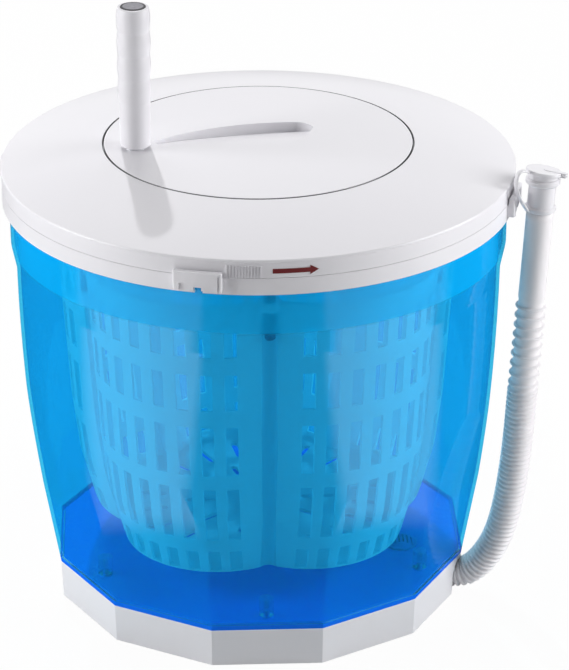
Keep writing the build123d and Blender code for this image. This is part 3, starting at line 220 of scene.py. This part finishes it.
def capTwoTone():
    # a dark ring round a grey, scuffed middle
    finish = newFinish("capTwoTone")
    across = finish.vectors("DISTANCE", finish.flatPlace(), capLook["centre"], output="Value")
    middle = finish.tinted(finish.speckle(capLook["scuffs"], moulding["detail"]), capLook)
    return finish.show(finish.skin(
        finish.blendColours(finish.between(across, capLook["edge"]), middle, rgba(capLook["ring"])),
        capLook["rough"] + capLook["spread"] * finish.speckle(capLook["clouds"])))


steelLook = {"colour": (0.62, 0.62, 0.64), "shade": (0.50, 0.50, 0.53), "clouds": 60.0,
             "lines": 400.0, "draw": (1.0, 1.0, 12.0), "press": 0.2, "depth": 0.00002,
             "rough": 0.22, "spread": 0.2}


def brushedSteel():
    finish = newFinish("steel")
    lines = finish.add("ShaderNodeTexNoise", {}, {
        "Vector": finish.vectors("MULTIPLY", finish.place(), steelLook["draw"]), "Scale": steelLook["lines"]})
    return finish.show(finish.skin(
        finish.tinted(finish.speckle(steelLook["clouds"]), steelLook),
        steelLook["rough"] + steelLook["spread"] * lines, Metallic=1.0,
        Normal=finish.bumps(lines, steelLook["press"], steelLook["depth"])))


tubLook = {
    "filter": (0.24, 0.80, 0.98),       # what one face of the wall lets through
    "lampFilter": (0.84, 0.95, 0.99),   # the same for light on its way in
    "body": (0.0, 0.45, 0.90),          # the wall's own milky blue
    "floorShadeBlue": (0.0, 0.17, 0.98),      # painted shade: the tub's floor, darker and deeper blue for the shade under the basket
    "floorEdge": (0.0345, 0.0360),      # the heights at which floor gives way to wall, and wall to band
    "bandEdge": (0.2830, 0.2855),
    "milk": 0.13, "milkFloor": 0.96, "milkBand": 0.44,
    "rough": 0.12, "spread": 0.06, "clouds": 14.0, "specular": 0.1,
    "gloss": (0.95, 0.97, 1.0), "shine": 0.060, "shineBand": 0.02, "shineRough": 0.05,
}


def tubBlue():
    finish = newFinish("tubBlue")
    height = finish.place("Z")
    rise = finish.between(height, tubLook["floorEdge"])
    band = finish.between(height, tubLook["bandEdge"])
    # painted shade: below the floor edge the wall turns near opaque, in a darker deep blue that stands in for
    # the shade under the basket
    body = finish.skin(
        finish.blendColours(rise, rgba(tubLook["floorShadeBlue"]), rgba(tubLook["body"])),
        tubLook["rough"] + tubLook["spread"] * finish.speckle(tubLook["clouds"]),
        **{"Specular IOR Level": tubLook["specular"]})
    milk = (tubLook["milkFloor"] + (tubLook["milk"] - tubLook["milkFloor"]) * rise
            + (tubLook["milkBand"] - tubLook["milk"]) * band)
    wall = finish.blendShaders(milk, finish.clear(tubLook["filter"]), body)
    gloss = finish.skin(rgba(tubLook["gloss"]), tubLook["shineRough"], Metallic=1.0)
    shine = tubLook["shine"] + (tubLook["shineBand"] - tubLook["shine"]) * band
    inward = finish.larger(finish.ray("Is Shadow Ray"), finish.ray("Is Diffuse Ray"))
    return finish.show(finish.blendShaders(
        inward, finish.blendShaders(shine, wall, gloss), finish.clear(tubLook["lampFilter"])))


basketLook = {"colour": (0.89, 0.94, 0.96), "shade": (0.84, 0.91, 0.94), "clouds": 12.0,
              "rough": 0.30, "spread": 0.10, "mottle": 20.0, "grain": 500.0, "press": 0.2, "depth": 0.00004,
              "glow": (0.42, 0.88, 1.00), "through": 0.40, "clearColour": (0.90, 0.96, 0.98), "clear": 0.05}


def basketClear():
    finish = newFinish("basketClear")
    grain = finish.speckle(basketLook["grain"], moulding["detail"])
    body = finish.skin(
        finish.tinted(finish.speckle(basketLook["clouds"]), basketLook),
        basketLook["rough"] + basketLook["spread"] * finish.speckle(basketLook["mottle"]),
        Normal=finish.bumps(grain, basketLook["press"], basketLook["depth"]))
    glow = finish.add("ShaderNodeBsdfTranslucent", {}, {"Color": rgba(basketLook["glow"])})
    milky = finish.blendShaders(basketLook["through"], body, glow)
    clear = finish.clear(basketLook["clearColour"])
    return finish.show(finish.blendShaders(basketLook["clear"], milky, clear))


finishes = {name: mouldedPlastic(name, look) for name, look in mouldedPlastics.items()}
# white shell with painted shade in the gap round the turntable
finishes["gapShadedShell"] = mouldedPlastic("gapShadedShell", mouldedPlastics["shellWhite"], gapShadeMarking)
finishes["capTwoTone"] = capTwoTone()
finishes["steel"] = brushedSteel()
finishes["tubBlue"] = tubBlue()
finishes["basketClear"] = basketClear()
print("finishes made:", len(finishes))


slotFinishes = {
    "tub_blue": "tubBlue", "basket_clear": "basketClear", "white_plastic": "shellWhite",
    "base_white": "baseWhite", "inner_white": "innerWhite", "hose_white": "hoseWhite",
    "dark_plastic": "darkPlastic", "dark_pin": "darkPin", "mark_red": "markRed", "steel": "steel",
    "rubber_grey": "rubberGrey",
}
# nodes whose finish isn't their slot's own
ownFinishes = {"drain_strainer": "deepBlue", "base_screws": "deepBlue", "grip_cap": "capTwoTone",
               "lid_cover": "gapShadedShell", "turntable": "gapShadedShell"}

for row in frame["record"]["subparts"]:
    surfaces = nodes[row["node"]].data.materials
    surfaces.clear()
    surfaces.append(finishes[ownFinishes.get(row["node"], slotFinishes[row["material_slot"]])])
print("parts dressed")


def outward(azimuth):
    return Vector((math.sin(math.radians(azimuth)), -math.cos(math.radians(azimuth)), 0.0))


def routeLine(name, points, steps):
    # a smooth line through the route's own points, read back as a list of places
    curve = bpy.data.curves.new(name, "CURVE")
    curve.dimensions = "3D"
    curve.resolution_u = steps
    spline = curve.splines.new("NURBS")
    spline.points.add(len(points) - 1)
    for point, place in zip(spline.points, points):
        point.co = (*place, 1.0)
    spline.order_u = 3
    spline.use_endpoint_u = True
    holder = bpy.data.objects.new(name, curve)
    scene.collection.objects.link(holder)
    line = bpy.data.meshes.new_from_object(holder)
    places = [vertex.co.copy() for vertex in line.vertices]
    bpy.data.objects.remove(holder)
    bpy.data.meshes.remove(line)
    return places


def lineLength(places):
    return sum((after - before).length for before, after in zip(places, places[1:]))


def lineStation(places, distance):
    # place and heading at a distance along the line
    walked = 0.0
    for before, after in zip(places, places[1:]):
        step = (after - before).length
        if walked + step >= distance and step > 0:
            share = (distance - walked) / step
            return before.lerp(after, share), (after - before).normalized()
        walked += step
    return places[-1].copy(), (places[-1] - places[-2]).normalized()


def solidPiece(name, rings, finishName):
    # a closed skin over rings of places that all have as many corners
    mesh = bmesh.new()
    rows = [[mesh.verts.new(place) for place in ring] for ring in rings]
    count = len(rows[0])
    for low, high in zip(rows, rows[1:]):
        for corner in range(count):
            after = (corner + 1) % count
            mesh.faces.new((low[corner], low[after], high[after], high[corner]))
    mesh.faces.new(list(reversed(rows[0])))
    mesh.faces.new(rows[-1])
    bmesh.ops.recalc_face_normals(mesh, faces=mesh.faces)
    data = bpy.data.meshes.new(name)
    mesh.to_mesh(data)
    mesh.free()
    for face in data.polygons:
        face.use_smooth = True
    data.materials.append(finishes[finishName])
    piece = bpy.data.objects.new(name, data)
    scene.collection.objects.link(piece)
    return piece


hose = {
    "azimuth": 75.0,
    # distance out from the tub's axis, and height
    "route": [(0.1310, 0.0126), (0.1585, 0.0128), (0.1710, 0.0215), (0.1800, 0.0340), (0.1865, 0.0475),
              (0.1910, 0.0625), (0.1942, 0.0790), (0.1968, 0.0975), (0.1990, 0.1180), (0.2008, 0.1410),
              (0.2022, 0.1670), (0.2039, 0.1960), (0.2059, 0.2270), (0.2074, 0.2560), (0.2091, 0.2840),
              (0.2112, 0.3210)],
    "routeSteps": 24,
    "end": 0.0098, "valley": 0.0094, "crest": 0.0115, "plain": 0.0100,
    "cuffLength": 0.0120, "pitch": 0.0039, "ribs": 49, "widePitch": 0.0079, "wideRibs": 9, "wideWidth": 0.0032,
    # one rib from side to side: share of its width, and of its height
    "rib": [(0.06, 0.0), (0.14, 0.06), (0.22, 0.45), (0.30, 0.88), (0.40, 0.99), (0.50, 1.0), (0.60, 0.99),
            (0.70, 0.88), (0.78, 0.45), (0.86, 0.06), (0.94, 0.0)],
    "swellSteps": 4, "plainSteps": 12, "sides": 56,
}


def ribRings(length):
    # (distance, radius) of each ring of the hose
    rings = [(share * hose["cuffLength"], hose["end"]) for share in (0.0, 0.5, 1.0)]
    rise = hose["crest"] - hose["valley"]
    for rib in range(hose["ribs"]):
        rings += [(hose["cuffLength"] + (rib + share) * hose["pitch"], hose["valley"] + rise * height)
                  for share, height in hose["rib"]]
    wideStart = hose["cuffLength"] + hose["ribs"] * hose["pitch"]
    for rib in range(hose["wideRibs"]):
        middle = wideStart + (rib + 0.5) * hose["widePitch"]
        rings += [(middle + (share - 0.5) * hose["wideWidth"], hose["valley"] + rise * height)
                  for share, height in hose["rib"]]
    plainStart = wideStart + hose["wideRibs"] * hose["widePitch"]
    for step in range(hose["swellSteps"] + 1):
        share = step / hose["swellSteps"]
        smooth = share * share * (3 - 2 * share)
        rings.append((plainStart + share * hose["pitch"],
                      hose["valley"] + (hose["plain"] - hose["valley"]) * smooth))
    stretch = length - plainStart - hose["pitch"]
    rings += [(plainStart + hose["pitch"] + stretch * (step + 1) / hose["plainSteps"], hose["plain"])
              for step in range(hose["plainSteps"])]
    return rings


def buildHose():
    out = outward(hose["azimuth"])
    steady = upward.cross(out)
    route = [out * reach + upward * height for reach, height in hose["route"]]
    places = routeLine("hoseRoute", route, hose["routeSteps"])
    length = lineLength(places)
    turns = [2 * math.pi * side / hose["sides"] for side in range(hose["sides"])]
    rings = []
    for distance, radius in ribRings(length):
        middle, heading = lineStation(places, distance)
        across = heading.cross(steady).normalized()
        rings.append([middle + radius * (math.cos(turn) * steady + math.sin(turn) * across) for turn in turns])
    piece = solidPiece("ribbed_hose", rings, "hoseWhite")
    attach(piece, "tub_base")
    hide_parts("drain_hose")
    print("hose length", round(length, 4))
    return piece, places


hosePiece, hosePlaces = buildHose()


strap = {
    "azimuth": -54.8, "width": 0.0040, "thickness": 0.0015,
    # reach from the hose end's axis, and height above the hose's end
    "route": [(0.01225, 0.00225), (0.02060, 0.01300), (0.02560, 0.02700), (0.02100, 0.03760),
              (0.01300, 0.03270)],
    "routeSteps": 16, "steps": 40,
    # the section's corners, in shares of half its width and half its thickness
    "section": [(-1, -0.5), (-1, 0.5), (-0.8, 1), (0.8, 1), (1, 0.5), (1, -0.5), (0.8, -1), (-0.8, -1)],
}


def buildStrap(endPlace):
    out = outward(strap["azimuth"])
    route = [endPlace + out * reach + upward * height for reach, height in strap["route"]]
    places = routeLine("strapRoute", route, strap["routeSteps"])
    length = lineLength(places)
    side = upward.cross(out)
    rings = []
    for step in range(strap["steps"] + 1):
        middle, heading = lineStation(places, length * step / strap["steps"])
        over = side.cross(heading).normalized()
        rings.append([middle + side * (x * strap["width"] / 2) + over * (y * strap["thickness"] / 2)
                      for x, y in strap["section"]])
    piece = solidPiece("strap_band", rings, "shellWhite")
    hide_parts("cap_strap")
    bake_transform(piece)
    return piece


strapPiece = buildStrap(hosePlaces[-1])
print("hose and strap made")


floorLook = {
    "colour": (0.82, 0.82, 0.82), "shade": (0.80, 0.80, 0.805), "clouds": 3.0, "rough": 0.9, "glow": 0.96,
    # painted reflection: to mirror rays the floor is dark, except the part that shines in the tub's wall: to
    # both sides, outside a wedge in front, away from the base
    "aside": (0.055, 0.100), "wedge": 0.36, "ahead": (0.06, 0.12), "away": (0.262, 0.285),
    "dimming": 0.95,
    "size": 6.0, "cells": 8,
}
roomLook = {"white": 1.0, "fill": 0.065, "fillColour": (0.95, 0.97, 1.0)}


def buildFloor():
    finish = newFinish("floorPaper")
    paper = finish.skin(finish.tinted(finish.speckle(floorLook["clouds"]), floorLook), floorLook["rough"],
                        **{"Specular IOR Level": 0.0})
    bright = finish.add("ShaderNodeEmission", {}, {"Color": white, "Strength": roomLook["white"]})
    dark = finish.add("ShaderNodeEmission", {}, {"Strength": 0.0})
    pale = finish.blendShaders(floorLook["glow"] * finish.seenRay(), paper, bright)
    ahead = -1.0 * finish.place("Y")
    aside = finish.maths("ABSOLUTE", finish.place("X")) - floorLook["wedge"] * ahead
    away = finish.vectors("LENGTH", finish.flatPlace(), output="Value")
    shining = (finish.between(aside, floorLook["aside"]) * finish.between(ahead, floorLook["ahead"])
               * finish.between(away, floorLook["away"]))
    # painted reflection: glossy rays see the floor dark outside the shining part, so the tub wall reflects
    # darkness in front
    material = finish.show(finish.blendShaders(
        floorLook["dimming"] * finish.ray("Is Glossy Ray") * (1.0 - shining), pale, dark))
    mesh = bmesh.new()
    bmesh.ops.create_grid(mesh, x_segments=floorLook["cells"], y_segments=floorLook["cells"],
                          size=floorLook["size"])
    data = bpy.data.meshes.new("floor")
    mesh.to_mesh(data)
    mesh.free()
    data.materials.append(material)
    floor = bpy.data.objects.new("floor", data)
    scene.collection.objects.link(floor)


def buildWorld():
    scene.world = bpy.data.worlds.new("softRoom")
    finish = Finish(scene.world)
    fill = finish.add("ShaderNodeBackground", {}, {
        "Color": rgba(roomLook["fillColour"]), "Strength": roomLook["fill"]})
    seen = finish.add("ShaderNodeBackground", {}, {"Color": white, "Strength": roomLook["white"]})
    finish.show(finish.blendShaders(finish.seenRay(), fill, seen), "ShaderNodeOutputWorld")


def aimed(thing, name, place, heading):
    holder = bpy.data.objects.new(name, thing)
    holder.location = place
    holder.rotation_mode = "QUATERNION"
    holder.rotation_quaternion = heading.to_track_quat("-Z", "Y")
    scene.collection.objects.link(holder)
    return holder


lampAim = (0.0, 0.0, 0.2)
lamps = {
    "key": {"from": (-0.333, 2.27, 2.50), "energy": 45.0, "size": 0.07, "shine": False},
    "top": {"from": (0.0, 0.8, 2.3), "energy": 11.0, "size": 1.6, "shine": False},
    "left": {"from": (-2.27, -0.34, 1.0), "energy": 52.0, "size": 1.5, "shine": True},
    "right": {"from": (2.25, -0.41, 1.0), "energy": 54.0, "size": 1.5, "shine": True},
}


def addLamp(name, look):
    light = bpy.data.lights.new(name, "AREA")
    light.energy = look["energy"]
    light.size = look["size"]
    lamp = aimed(light, name, look["from"], Vector(lampAim) - Vector(look["from"]))
    lamp.visible_camera = False
    lamp.visible_glossy = look["shine"]


camera = {"place": (-0.0798, -2.2722, 1.2420), "heading": (0.03965, 0.90811, -0.41684), "lens": 177.14,
          "sensor": 36.0, "reach": (0.05, 50.0)}


def addCamera():
    lens = bpy.data.cameras.new("camera")
    lens.lens = camera["lens"]
    lens.sensor_width = camera["sensor"]
    lens.sensor_fit = "AUTO"
    lens.clip_start, lens.clip_end = camera["reach"]
    scene.camera = aimed(lens, "camera", camera["place"], Vector(camera["heading"]))


buildFloor()
buildWorld()
for lampName, lampLook in lamps.items():
    addLamp(lampName, lampLook)
addCamera()
print("studio ready")
